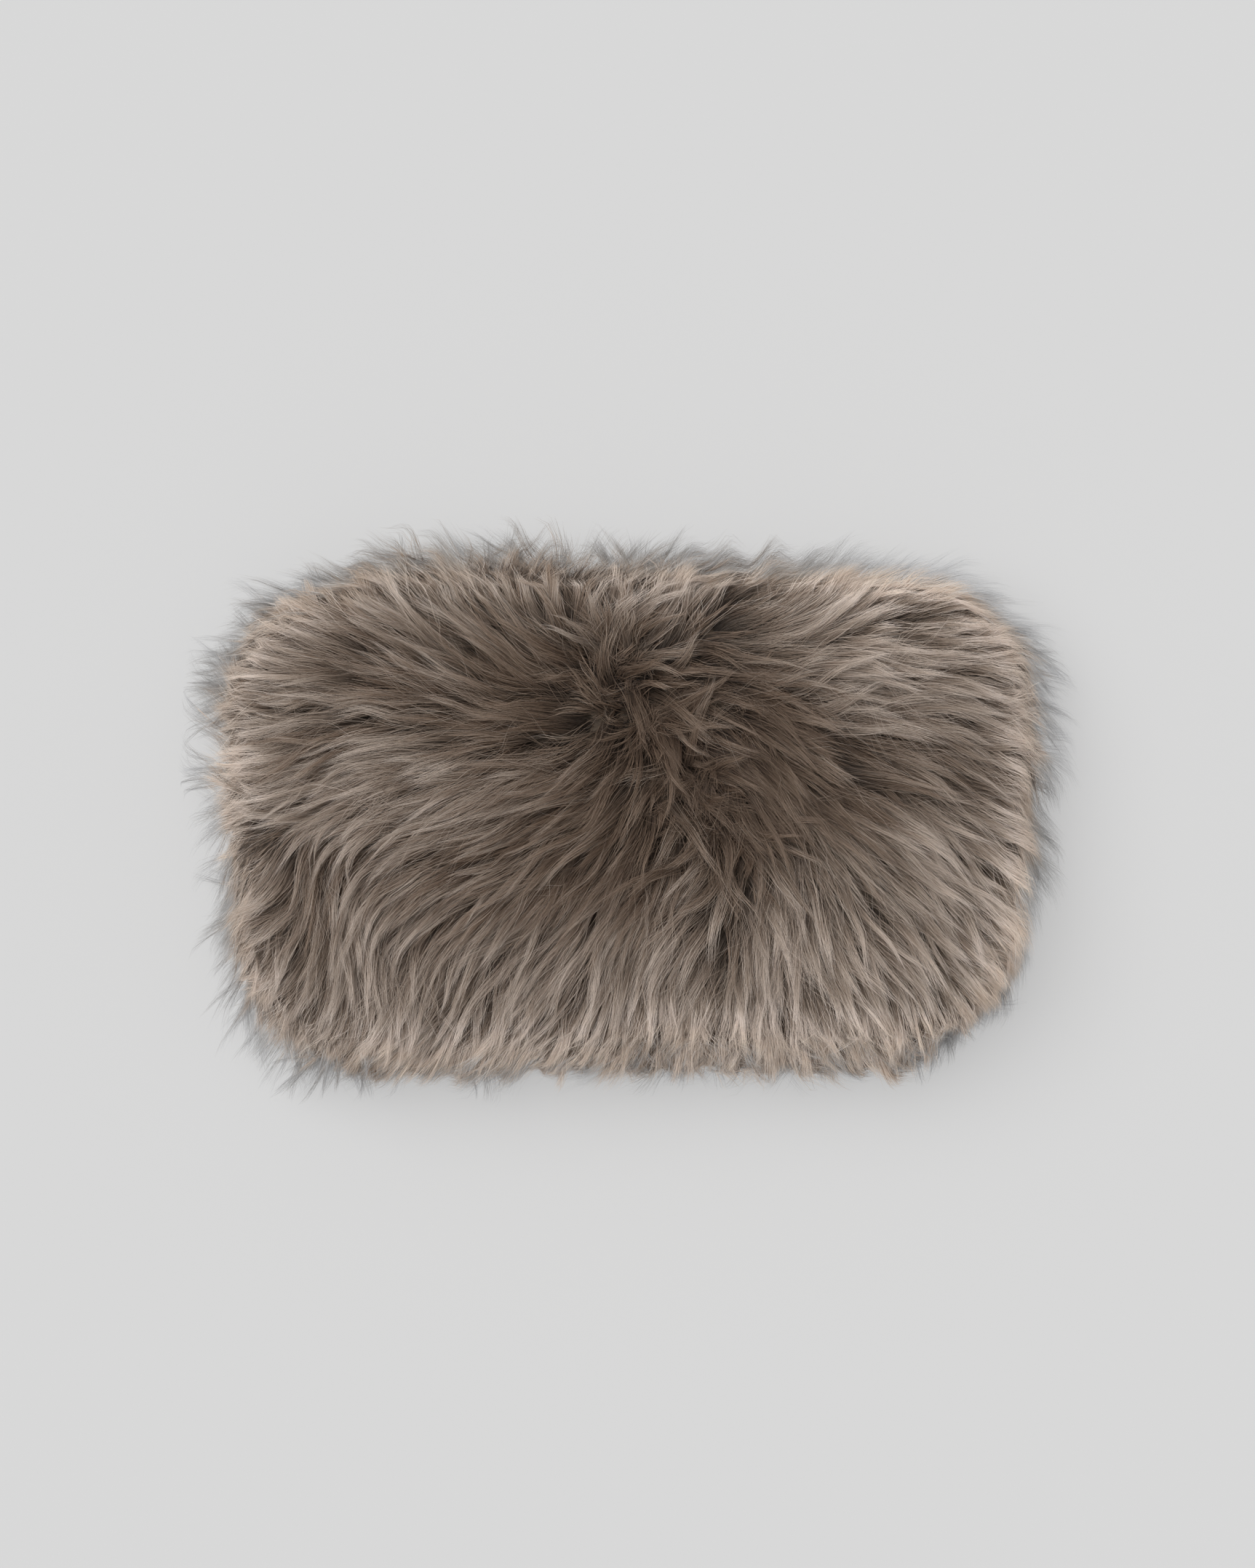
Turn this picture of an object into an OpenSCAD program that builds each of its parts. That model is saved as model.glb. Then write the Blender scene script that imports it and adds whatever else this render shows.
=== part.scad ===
// Sheepskin scatter cushion lying on its back panel, wool side up.
// The sewn cover is a long-wool hide above and a woven panel below, closed by a zip in the
// front long seam. A cotton case with a soft filling sits inside it.
// Frame: origin at the centre of the underside, +X along the long side, +Z up, millimetres.

/* [Cover] */
// Width of the filled cover, seam to seam
cover_w = 470; // [440:2:500]
// Depth of the filled cover, seam to seam
cover_d = 276; // [250:2:300]
// Plan radius of the cover's corners at the seam
corner_r = 70; // [50:1:72]
// Height of the seam between hide and back panel
seam_h = 44; // [40:1:48]
// Height of the hide's crown
crown_h = 116; // [100:1:130]
// Thickness of the tanned hide, without its wool
hide_t = 2; // [1.4:0.1:2.4]
// Thickness of the woven back panel
back_t = 1.6; // [1:0.1:1.8]

/* [Wool] */
// How far the combed wool stands out past the seam
wool_overhang = 34; // [26:1:38]
// Depth of the wool over the crown
wool_depth = 32; // [22:1:38]

/* [Zip] */
// Half length of the closed chain
chain_half = 149; // [110:1:149]
// Distance from one tooth to the next on one side
tooth_pitch = 3; // [2.8:0.1:3.4]
// Length of the slider body
slider_l = 11; // [10:0.5:13]
// Length of the pull tab from its pivot
tab_l = 18; // [14:1:20]

/* [Inner cushion] */
// Thickness of the cotton case
case_t = 0.8; // [0.5:0.1:1.2]
// Space between the cover and the case at the rim
case_gap = 7.5; // [7:0.5:10]

/* [Hidden] */

clear = 0.1;                 // gap between parts that lie against each other
band_half = 12;              // half height of the rim's upright band
band_top = seam_h + band_half;
band_low = seam_h - band_half;
foot_share = 0.78;           // share of the plan that lies flat on the surface
corner_steps = 7;            // straight pieces in each corner of a plan outline
dome_rows = 9;
bowl_rows = 6;

// Zip, measured from its own centre line: x along it, y out of the cover, z across it
tape_t = 0.7;
tape_h = 8.2;
tape_half = chain_half + 15;
tape_edge = 1.6;             // from the centre line to each tape's edge
tooth_w = 1.3;
tooth_head = 0.9;            // how far a tooth reaches past the centre line
tooth_grip = 1.6;            // how far a tooth's legs reach over the tape
tooth_t = 2.4;
head_t = 1.6;
window_half = chain_half + 11;
window_gap = 5.4;            // from the centre line to each folded edge of the cover
zip_y = -(cover_d / 2 - hide_t - clear - tape_t / 2);
teeth = floor((2 * chain_half - tooth_w) / tooth_pitch);

// Slider
plate_t = 1.1;
channel = 1.5;               // half the channel's depth
channel_half = 3.5;          // half the channel's height
slider_half = 4.3;
lip = 0.6;                   // half the slot that the tape runs in
slider_x = chain_half - 1.2;
bridge_w = 2;
bridge_in = 1.76;            // clear height under the bridge
bridge_t = 1;
bridge_half = 2.6;           // half the clear length under the bridge
bar_r = 0.8;
pivot_x = 1.72;              // pivot from the slider's centre
pivot_y = -(channel + plate_t + bridge_in / 2);
tab_t = 1.3;
tab_w = 5.4;
tab_end_w = 7.4;
tab_window_w = 3;
tab_window_l = 6.6;

// Sewing
thread_r = 0.32;
stitch_l = 2.8;
stitch_pitch = 4;
seam_pitch = 6;
topstitch_off = 3;           // from a folded edge to its row of stitches

wool_colour = [0.42, 0.375, 0.34];
hide_colour = [0.80, 0.74, 0.66];
cloth_colour = [0.46, 0.43, 0.40];
cotton_colour = [0.93, 0.92, 0.89];
metal_colour = [0.45, 0.43, 0.40];

// ---- Plan outlines and lofts ----

// Plan outline moved inwards by g, with straight sides and round corners
function outline(g) =
    let (hx = cover_w / 2 - corner_r, hy = cover_d / 2 - corner_r, r = corner_r - g)
    [for (c = [0:3], i = [0:corner_steps])
        let (a = 90 * (c + i / corner_steps),
             sx = c == 0 || c == 3 ? 1 : -1,
             sy = c < 2 ? 1 : -1)
        [sx * hx + r * cos(a), sy * hy + r * sin(a)]];

function row(g, share, z) = [for (p = outline(g)) [p.x * share, p.y * share, z]];

// Heights over the plan: share is 1 at the seam and 0 at the centre
function dome(share) = band_top + (crown_h - band_top) * pow(1 - pow(share, 2.2), 0.58);
function bowl(share) =
    share <= foot_share ? 0
    : let (t = (share - foot_share) / (1 - foot_share)) band_low * (1 - sqrt(1 - t * t));

// Shares of the rows, closer together near the rim where the cloth turns
function dome_share(i) = cos(90 * i / dome_rows);
function bowl_share(i) = foot_share + (1 - foot_share) * cos(90 * i / bowl_rows);

function dome_side(g, drop) =
    [for (i = [0:dome_rows - 1]) row(g, dome_share(i), dome(dome_share(i)) - drop)];
function bowl_side(g, lift) =
    concat(
        [row(g, 0.4, lift)],
        [for (i = [bowl_rows:-1:0]) row(g, bowl_share(i), bowl(bowl_share(i)) + lift)]);
function reversed(rows) = [for (i = [len(rows) - 1:-1:0]) rows[i]];

// Closed solid from a first tip, through rings of points, to a last tip
module loft(first, rows, last) {
    n = len(rows[0]);
    m = len(rows);
    points = concat([first], [for (r = rows, p = r) p], [last]);
    function at(i, j) = 1 + i * n + (j % n);
    sides = [for (i = [0:m - 2], j = [0:n - 1], k = [0, 1])
        k == 0 ? [at(i, j), at(i, j + 1), at(i + 1, j + 1)]
               : [at(i, j), at(i + 1, j + 1), at(i + 1, j)]];
    caps = [for (j = [0:n - 1], k = [0, 1])
        k == 0 ? [0, at(0, j + 1), at(0, j)]
               : [len(points) - 1, at(m - 1, j), at(m - 1, j + 1)]];
    polyhedron(points, concat(sides, caps), convexity = 6);
}

// Upper shell from the seam to the crown, from plan offset g_out inwards to g_in
module upper_shell(g_out, top_out, g_in, top_in) {
    loft([0, 0, crown_h - top_in],
         concat(reversed(dome_side(g_in, top_in)),
                [row(g_in, 1, seam_h), row(g_out, 1, seam_h)],
                dome_side(g_out, top_out)),
         [0, 0, crown_h - top_out]);
}

// Lower shell from the underside to the seam
module lower_shell(g_out, low_out, g_in, low_in) {
    loft([0, 0, low_out],
         concat(bowl_side(g_out, low_out),
                [row(g_out, 1, seam_h), row(g_in, 1, seam_h)],
                reversed(bowl_side(g_in, low_in))),
         [0, 0, low_in]);
}

// ---- Cover ----

module zip_window() {
    translate([-window_half, -cover_d / 2 - 1, seam_h - window_gap])
        cube([2 * window_half, 8, 2 * window_gap]);
}

// Height all round a plan outline, one value along the zip side and another elsewhere
function skirt(g, zip_side, elsewhere) =
    let (points = outline(g))
    [for (i = [0:len(points) - 1])
        let (c = floor(i / (corner_steps + 1)),
             a = 90 * (c + (i % (corner_steps + 1)) / corner_steps),
             w = pow(max(0, -sin(a)), 3))
        [points[i].x, points[i].y, elsewhere + (zip_side - elsewhere) * w]];

// Wool as one soft body: over the crown, then out past the seam as a hanging brim.
// The brim stops higher along the zip side, so that the pull tab swings below it.
module wool_pile() {
    color(wool_colour)
        loft([0, 0, crown_h + clear],
             concat(
                 reversed(dome_side(-clear, -clear)),
                 [skirt(-wool_overhang * 0.45, band_top - 2, band_top - 4),
                  skirt(-wool_overhang * 0.85, seam_h + 6.5, seam_h - 20),
                  skirt(-wool_overhang, seam_h + 13, seam_h - 10)],
                 [for (i = [1:dome_rows - 1])
                     let (s = dome_share(i),
                          lift = wool_depth * pow(sin(90 * i / dome_rows), 0.35))
                     row(-wool_overhang, s, dome(s) + lift)]),
             [0, 0, crown_h + wool_depth]);
}

module sheepskin_hide() {
    color(hide_colour)
        difference() {
            upper_shell(0, 0, hide_t, hide_t);
            zip_window();
        }
}

module back_panel() {
    color(cloth_colour)
        difference() {
            lower_shell(0, 0, back_t, back_t);
            zip_window();
        }
}

// Upright stitches that close the seam on the two ends and the rear side
module side_seam_thread() {
    off = thread_r + 0.02;
    hx = cover_w / 2 - corner_r;
    hy = cover_d / 2 - corner_r;
    corner_l = PI / 2 * corner_r;
    corner_n = floor(corner_l / seam_pitch);
    color(cloth_colour) {
        for (x = [-hx:seam_pitch:hx])
            seam_stitch(x, cover_d / 2 + off);
        for (side = [-1, 1], y = [-hy:seam_pitch:hy])
            seam_stitch(side * (cover_w / 2 + off), y);
        for (sx = [-1, 1], sy = [-1, 1], i = [0.5:1:corner_n])
            let (a = 90 * i / corner_n)
            seam_stitch(sx * (hx + (corner_r + off) * cos(a)),
                        sy * (hy + (corner_r + off) * sin(a)));
    }
}

module seam_stitch(x, y) {
    translate([x, y, seam_h - 2])
        cylinder(h = 4, r = thread_r, $fn = 16);
}

// Blank woven label, caught in the rear seam and lying against the back panel
module care_label() {
    label_w = 26;
    label_h = 19;
    label_x = 120;
    color(cotton_colour)
        translate([label_x, cover_d / 2 + 1, seam_h - label_h])
            cube([label_w, 0.6, label_h]);
}

// ---- Zip ----

// Places children on the zip's centre line
module on_zip(x = 0) {
    translate([x, zip_y, seam_h])
        children();
}

// Runs a profile drawn as [y, z] along x for a length
module along_x(length) {
    rotate([90, 0, 90])
        linear_extrude(height = length)
            children();
}

module tape() {
    translate([-tape_half, -tape_t / 2, tape_edge])
        cube([2 * tape_half, tape_t, tape_h]);
}

module zip_tape_upper() {
    color(cloth_colour) on_zip() tape();
}

module zip_tape_lower() {
    color(cloth_colour) on_zip() mirror([0, 0, 1]) tape();
}

// Clamp over a tape's edge: two legs and a web, with a head when reach is above 0
module clamp_profile(reach) {
    slot = tape_t / 2 + 0.01;
    polygon([
        [-tooth_t / 2, tape_edge + tooth_grip], [-slot, tape_edge + tooth_grip],
        [-slot, tape_edge], [slot, tape_edge],
        [slot, tape_edge + tooth_grip], [tooth_t / 2, tape_edge + tooth_grip],
        [tooth_t / 2, tape_edge - 0.5], [head_t / 2, tape_edge - 0.9],
        [head_t / 2, -reach], [-head_t / 2, -reach],
        [-head_t / 2, tape_edge - 0.9], [-tooth_t / 2, tape_edge - 0.5]
    ]);
}

module tooth_row(shift) {
    for (i = [0:teeth - 1])
        translate([-chain_half + tooth_pitch * (i + shift), 0, 0])
            along_x(tooth_w) clamp_profile(tooth_head);
}

module zip_teeth_upper() {
    color(metal_colour) on_zip() tooth_row(0);
}

module zip_teeth_lower() {
    color(metal_colour) on_zip() mirror([0, 0, 1]) tooth_row(0.5);
}

// Staple that holds both tapes together where the chain begins
module zip_bottom_stop() {
    stop_l = 3;
    slot = tape_t / 2 + 0.01;
    color(metal_colour)
        on_zip(-chain_half - stop_l - 0.8)
            difference() {
                translate([0, -tooth_t / 2, -3.2])
                    cube([stop_l, tooth_t, 6.4]);
                for (side = [-1, 1])
                    translate([-1, -slot, side > 0 ? tape_edge : -tape_edge - 4])
                        cube([stop_l + 2, 2 * slot, 4]);
            }
}

// One stop clamped on each tape where the slider comes to rest
module zip_top_stops() {
    color(metal_colour)
        for (side = [0, 1])
            on_zip(slider_x + slider_l / 2 + 0.7)
                mirror([0, 0, side])
                    along_x(3.4) clamp_profile(-0.3);
}

module slider_plate() {
    head = slider_half + 0.5;
    linear_extrude(height = plate_t)
        polygon([
            [-slider_l / 2, -slider_half + 0.9], [-slider_l / 2 + 0.9, -slider_half],
            [slider_l / 2 - 3.4, -slider_half], [slider_l / 2 - 1.4, -head],
            [slider_l / 2, -head + 1], [slider_l / 2 + 0.4, 0], [slider_l / 2, head - 1],
            [slider_l / 2 - 1.4, head], [slider_l / 2 - 3.4, slider_half],
            [-slider_l / 2 + 0.9, slider_half], [-slider_l / 2, slider_half - 0.9]
        ]);
}

// Strap over the outer plate that holds the pull tab's bar
module slider_bridge() {
    r = bridge_in / 2;
    foot = bridge_half + bridge_t;
    difference() {
        translate([-foot, -(channel + plate_t + bridge_in + bridge_t), -bridge_w / 2])
            cube([2 * foot, bridge_in + bridge_t + 0.2, bridge_w]);
        translate([0, pivot_y, 0]) {
            for (side = [-1, 1])
                translate([side * (bridge_half - r), 0, -bridge_w])
                    cylinder(h = 2 * bridge_w, r = r, $fn = 32);
            translate([-(bridge_half - r), -r, -bridge_w])
                cube([2 * (bridge_half - r), 2 * r, 2 * bridge_w]);
        }
    }
}

// Slider casting: two plates, the lips that guide the tapes, the wedge and the bridge
module zip_slider() {
    color(metal_colour)
        on_zip(slider_x) {
            translate([0, -channel, 0]) rotate([90, 0, 0]) slider_plate();
            translate([0, channel + plate_t, 0]) rotate([90, 0, 0]) slider_plate();
            for (side = [-1, 1], face = [-1, 1])
                translate([-slider_l / 2 + 1,
                           face > 0 ? lip : -channel - 0.05,
                           side > 0 ? channel_half : -slider_half])
                    cube([slider_l - 4.2, channel - lip + 0.05, slider_half - channel_half]);
            translate([0, channel + 0.05, 0])
                rotate([90, 0, 0])
                    linear_extrude(height = 2 * channel + 0.1)
                        polygon([[1.6, 0], [4, -1.4], [slider_l / 2 - 0.2, -1.4],
                                 [slider_l / 2 - 0.2, 1.4], [4, 1.4]]);
            slider_bridge();
        }
}

// Pull tab lying back along the chain: a round bar, two arms and a tapered plate
module pull_tab() {
    window_w = tab_window_w / 2;
    color(metal_colour)
        on_zip(slider_x + pivot_x)
            translate([0, pivot_y, 0]) {
                translate([0, 0, -tab_w / 2])
                    cylinder(h = tab_w, r = bar_r, $fn = 32);
                difference() {
                    translate([0, tab_t / 2, 0])
                        rotate([90, 0, 0])
                            linear_extrude(height = tab_t)
                                polygon([[0, -tab_w / 2], [0, tab_w / 2],
                                         [-tab_l + 2, tab_end_w / 2],
                                         [-tab_l, tab_end_w / 2 - 2],
                                         [-tab_l, -tab_end_w / 2 + 2],
                                         [-tab_l + 2, -tab_end_w / 2]]);
                    translate([-tab_window_l, -tab_t, -window_w])
                        cube([tab_window_l - bar_r + 0.3, 2 * tab_t, tab_window_w]);
                    translate([0, -tab_t, -window_w])
                        cube([2 * bar_r, 2 * tab_t, tab_window_w]);
                    translate([-tab_l + 5, tab_t, 0])
                        rotate([90, 0, 0])
                            cylinder(h = 2 * tab_t, r = 1.5, $fn = 32);
                }
            }
}

// ---- Visible sewing beside the zip ----

module topstitch(z) {
    count = floor(2 * window_half / stitch_pitch);
    color(cloth_colour)
        for (i = [0:count - 1])
            translate([-window_half + stitch_pitch * (i + 0.15),
                       -cover_d / 2 - thread_r - 0.02, z])
                rotate([0, 90, 0])
                    cylinder(h = stitch_l, r = thread_r, $fn = 16);
}

module zip_topstitch_upper() {
    topstitch(seam_h + window_gap + topstitch_off);
}

module zip_topstitch_lower() {
    topstitch(seam_h - window_gap - topstitch_off);
}

// Dense bar of thread across each end of the zip's opening
module zip_bar_tacks() {
    tack_r = 0.7;
    color(cloth_colour)
        for (side = [-1, 1])
            translate([side * (window_half + 1.6), -cover_d / 2 - tack_r - 0.02,
                       seam_h - window_gap - 1])
                cylinder(h = 2 * window_gap + 2, r = tack_r, $fn = 24);
}

// ---- Inner cushion ----

case_out = case_gap;
case_in = case_out + case_t;
case_top = hide_t + 0.4;
case_low = back_t + 0.4;

module inner_case_top() {
    color(cotton_colour)
        upper_shell(case_out, case_top, case_in, case_top + case_t);
}

module inner_case_bottom() {
    color(cotton_colour)
        lower_shell(case_out, case_low, case_in, case_low + case_t);
}

// Stitches round the case where its two halves meet
module inner_case_thread() {
    g = case_out - thread_r - 0.02;
    hx = cover_w / 2 - corner_r;
    hy = cover_d / 2 - corner_r;
    color(cotton_colour)
        for (side = [-1, 1]) {
            for (x = [-hx:8:hx])
                seam_stitch(x, side * (cover_d / 2 - g));
            for (y = [-hy:8:hy])
                seam_stitch(side * (cover_w / 2 - g), y);
        }
}

module filling() {
    g = case_in + 0.2;
    low = case_low + case_t + 0.2;
    top = case_top + case_t + 0.2;
    color("white")
        loft([0, 0, low],
             concat(bowl_side(g, low), dome_side(g, top)),
             [0, 0, crown_h - top]);
}

wool_pile();
sheepskin_hide();
back_panel();
side_seam_thread();
care_label();
zip_tape_upper();
zip_tape_lower();
zip_teeth_upper();
zip_teeth_lower();
zip_slider();
pull_tab();
zip_bottom_stop();
zip_top_stops();
zip_topstitch_upper();
zip_topstitch_lower();
zip_bar_tacks();
inner_case_top();
inner_case_bottom();
inner_case_thread();
filling();
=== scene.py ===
"""Looks for a sheepskin scatter cushion lying wool side up: combed wool locks over a
filled cover, a woven back panel and a zip in the front seam. Units are metres."""

import math

import bpy
import numpy as np
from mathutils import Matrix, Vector
from mathutils.bvhtree import BVHTree


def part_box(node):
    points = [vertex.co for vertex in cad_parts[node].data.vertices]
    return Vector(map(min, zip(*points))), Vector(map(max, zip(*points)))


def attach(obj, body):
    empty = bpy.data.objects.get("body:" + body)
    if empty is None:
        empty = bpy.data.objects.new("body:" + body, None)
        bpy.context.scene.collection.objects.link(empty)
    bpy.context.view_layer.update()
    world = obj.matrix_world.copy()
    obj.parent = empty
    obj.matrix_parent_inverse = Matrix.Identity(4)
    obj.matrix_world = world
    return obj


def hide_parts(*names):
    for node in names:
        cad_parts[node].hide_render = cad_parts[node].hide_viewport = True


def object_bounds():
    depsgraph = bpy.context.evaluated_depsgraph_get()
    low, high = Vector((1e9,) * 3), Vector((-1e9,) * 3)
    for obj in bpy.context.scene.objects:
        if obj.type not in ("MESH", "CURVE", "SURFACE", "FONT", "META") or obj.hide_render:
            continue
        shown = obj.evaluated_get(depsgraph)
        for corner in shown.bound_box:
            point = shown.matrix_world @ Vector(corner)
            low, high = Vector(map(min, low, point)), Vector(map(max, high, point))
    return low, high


MM = 0.001
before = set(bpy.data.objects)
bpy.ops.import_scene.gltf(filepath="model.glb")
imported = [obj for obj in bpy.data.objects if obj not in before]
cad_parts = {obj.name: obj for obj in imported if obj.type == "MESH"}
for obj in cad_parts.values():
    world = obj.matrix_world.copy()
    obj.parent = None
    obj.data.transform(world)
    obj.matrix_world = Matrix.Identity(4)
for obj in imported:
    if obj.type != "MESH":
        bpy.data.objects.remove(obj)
cad_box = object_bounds()
rng = np.random.default_rng(7)

# ---- Sizes that follow the CAD ----

cover_low, cover_high = (np.array(c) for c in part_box("sheepskin_hide"))
HALF_W, HALF_D = cover_high[0], cover_high[1]
CROWN = cover_high[2]
SEAM = cover_low[2]
CORNER = 70 * MM            # radius of the outline's corners
CORE = np.array([HALF_W - CORNER, HALF_D - CORNER])    # centre of the +X +Y corner
BAND = 12 * MM              # height of the upright band above and below the seam
FOOT = 0.78                 # share of the outline that rests flat on the floor
HIDE_T = 2 * MM
BACK_T = 1.6 * MM
WINDOW_HALF = 160 * MM      # half length of the gap in the cover that shows the zip
WINDOW_GAP = 5.4 * MM       # how far the gap runs above and below the seam
WINDOW_DEPTH = 8 * MM       # how far in from the front edge the gap is cut

# Space that the slider and its pull tab pass through: half length, front, low, high
ZIP_HALF = 172 * MM
ZIP_REACH = HALF_D + 19.8 * MM
ZIP_LOW = SEAM - 7 * MM
ZIP_HIGH = SEAM + 6 * MM

# Growing wool
ROOT_LIFT = 0.3 * MM        # height of a root above the hide
FLARE_BELOW = 75 * MM       # the pile deepens below this height above the floor
LEVEL_FROM = 14 * MM        # fibres that fall to this height start to turn level
LEVEL_RUN = 12 * MM         # and are level this much lower
MAIN_WAVE, FINE_WAVE = 24 * MM, 9 * MM                 # pitches of a fibre's crimp
PRESS_FROM = 4 * MM         # tips are pressed back from this far past the CAD model
PRESS_RUN = 14 * MM         # and go at most this much further
TOP_ROOM = 3 * MM
FLOOR_ROOM = 0.8 * MM

# The wool's chart: how much of it the fibres use, from root to tip and side to side
CHART_ROOT, CHART_RUN = 0.02, 0.96
CHART_SIDE = 0.012


# ---- Small vector helpers ----

def unit(v):
    return v / np.maximum(np.linalg.norm(v, axis=-1, keepdims=True), 1e-9)


def dot(a, b):
    return (a * b).sum(-1, keepdims=True)


def smoothstep(x, low, high):
    t = np.clip((x - low) / (high - low), 0, 1)
    return t * t * (3 - 2 * t)


def waves(p, length, seed, count=7):
    """Smooth noise from about -1 to 1 over points p, with features of about that length."""
    r = np.random.default_rng(seed)
    k = unit(r.normal(size=(count, p.shape[-1]))) * 2 * math.pi / length
    k *= r.uniform(0.6, 1.5, (count, 1))
    return np.sin(p @ k.T + r.uniform(0, 7, count)).sum(-1) / math.sqrt(count) / 1.2


# ---- Cover surfaces ----

def outline(inset, per_corner=14, per_short=22):
    """Plan outline at the seam, anticlockwise from +X, moved inwards by inset. The long
    sides have extra points at the ends of the zip window."""
    (hx, hy), r = CORE, CORNER - inset
    ends = np.array((WINDOW_HALF, WINDOW_HALF + 0.5 * MM))
    long_side = np.sort(np.concatenate([np.linspace(-hx, hx, 41)[1:-1], ends, -ends]))
    short_side = np.linspace(-hy, hy, per_short + 1)[1:-1]
    arc = np.radians(np.linspace(0, 90, per_corner + 1))
    points = []
    for c, (sx, sy) in enumerate(((1, 1), (-1, 1), (-1, -1), (1, -1))):
        turned = arc + c * math.pi / 2
        points.append(np.column_stack([sx * hx + r * np.cos(turned),
                                       sy * hy + r * np.sin(turned)]))
        if c % 2 == 0:
            run, at = long_side[::-1] * sy, np.full(len(long_side), sy * (HALF_D - inset))
            points.append(np.column_stack([run, at]))
        else:
            run, at = short_side * -sy, np.full(len(short_side), sx * (HALF_W - inset))
            points.append(np.column_stack([at, run]))
    return np.concatenate(points)


def dome(share):
    """Height of the hide over a ring at that share of the outline."""
    return SEAM + BAND + (CROWN - SEAM - BAND) * (1 - share**2.2) ** 0.58


def bowl(share):
    """Height of the back panel under a ring at that share of the outline."""
    t = np.clip((share - FOOT) / (1 - FOOT), 0, 1)
    return (SEAM - BAND) * (1 - np.sqrt(1 - t * t))


def grid_mesh(name, rows, first=None, last=None):
    """Closed-ring rows of points joined into quads, with a point at either end."""
    n = len(rows[0])
    points = [tuple(p) for row in rows for p in row]
    faces = []
    for i in range(len(rows) - 1):
        for j in range(n):
            k = (j + 1) % n
            faces.append((i * n + j, i * n + k, (i + 1) * n + k, (i + 1) * n + j))
    for tip, row in ((first, 0), (last, len(rows) - 1)):
        if tip is not None:
            points.append(tuple(tip))
            for j in range(n):
                k = (j + 1) % n
                pair = (row * n + k, row * n + j) if row == 0 else (row * n + j, row * n + k)
                faces.append((*pair, len(points) - 1))
    mesh = bpy.data.meshes.new(name)
    mesh.from_pydata(points, [], faces)
    mesh.shade_smooth()
    obj = bpy.data.objects.new(name, mesh)
    bpy.context.scene.collection.objects.link(obj)
    return obj


def ring(inset, share, z):
    """The outline shrunk to a share of its size, at height z."""
    plan = outline(inset) * share
    return np.column_stack([plan, np.broadcast_to(z, len(plan))])


def puckers(points, share, height):
    """Pushes a ring of cloth out in small folds that start at the seam and die away."""
    plan = points[:, :2]
    run = np.concatenate([[0], np.cumsum(np.linalg.norm(np.diff(plan, axis=0), axis=1))])
    fold = np.sin(run / (9 * MM)) * 0.5 + waves(plan, 38 * MM, 3) * 0.6
    out = unit(np.column_stack([plan, np.zeros(len(plan))]))
    fade = smoothstep(share, 0.55, 0.97)
    return points + out * (fold * height * fade * 0.5)[:, None]


def seam_edge(plan, side):
    """Height of the cover's edge: at the seam, or clear of the zip along its window."""
    open_here = (plan[:, 1] < 0) & (np.abs(plan[:, 0]) < WINDOW_HALF + 0.1 * MM)
    open_here &= plan[:, 1] < -HALF_D + WINDOW_DEPTH
    return SEAM + side * np.where(open_here, WINDOW_GAP, 0)


def upper_rows(inset, drop, bands=6, domes=26):
    """Rings of the hide from its edge up the band and over the dome."""
    edge = seam_edge(outline(inset), 1)
    top = SEAM + BAND - drop
    rows = [ring(inset, 1, edge + (top - edge) * i / bands) for i in range(bands)]
    for i in range(domes):
        s = math.cos(math.radians(90 * i / domes))
        rows.append(ring(inset, s, dome(s) - drop))
    return rows


def lower_rows(inset, lift, bands=6, bowls=16):
    """Rings of the back panel from the middle of the base up to its edge."""
    rows = []
    for s in (0.15, 0.3, 0.45, 0.6, 0.7):
        rows.append(ring(inset, s, lift))
    for i in range(bowls, -1, -1):
        s = FOOT + (1 - FOOT) * math.cos(math.radians(90 * i / bowls))
        rows.append(puckers(ring(inset, s, bowl(s) + lift), s, 1.0 * MM))
    low = SEAM - BAND + lift
    edge = seam_edge(outline(inset), -1)
    rows += [ring(inset, 1, low + (edge - low) * i / bands) for i in range(1, bands + 1)]
    return rows


def panel_run(obj, rows):
    """Adds a UV layer in metres: each point's run over the cloth from the middle."""
    steps = [np.linalg.norm(rows[0], axis=1)]
    steps += [np.linalg.norm(b - a, axis=1) for a, b in zip(rows, rows[1:])]
    run = np.cumsum(steps, axis=0)
    way = unit(np.stack([row[:, :2] for row in rows]))
    flat = (way * run[..., None]).reshape(-1, 2)
    extra = len(obj.data.vertices) - len(flat)
    flat = np.concatenate([flat, np.zeros((extra, 2))])
    corner = np.empty(len(obj.data.loops), np.int32)
    obj.data.loops.foreach_get("vertex_index", corner)
    layer = obj.data.uv_layers.new(name="cloth")
    layer.uv.foreach_set("vector", flat[corner].astype(np.float32).ravel())


# ---- Comb directions over the panel: x, y in millimetres, angle in degrees ----

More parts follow.
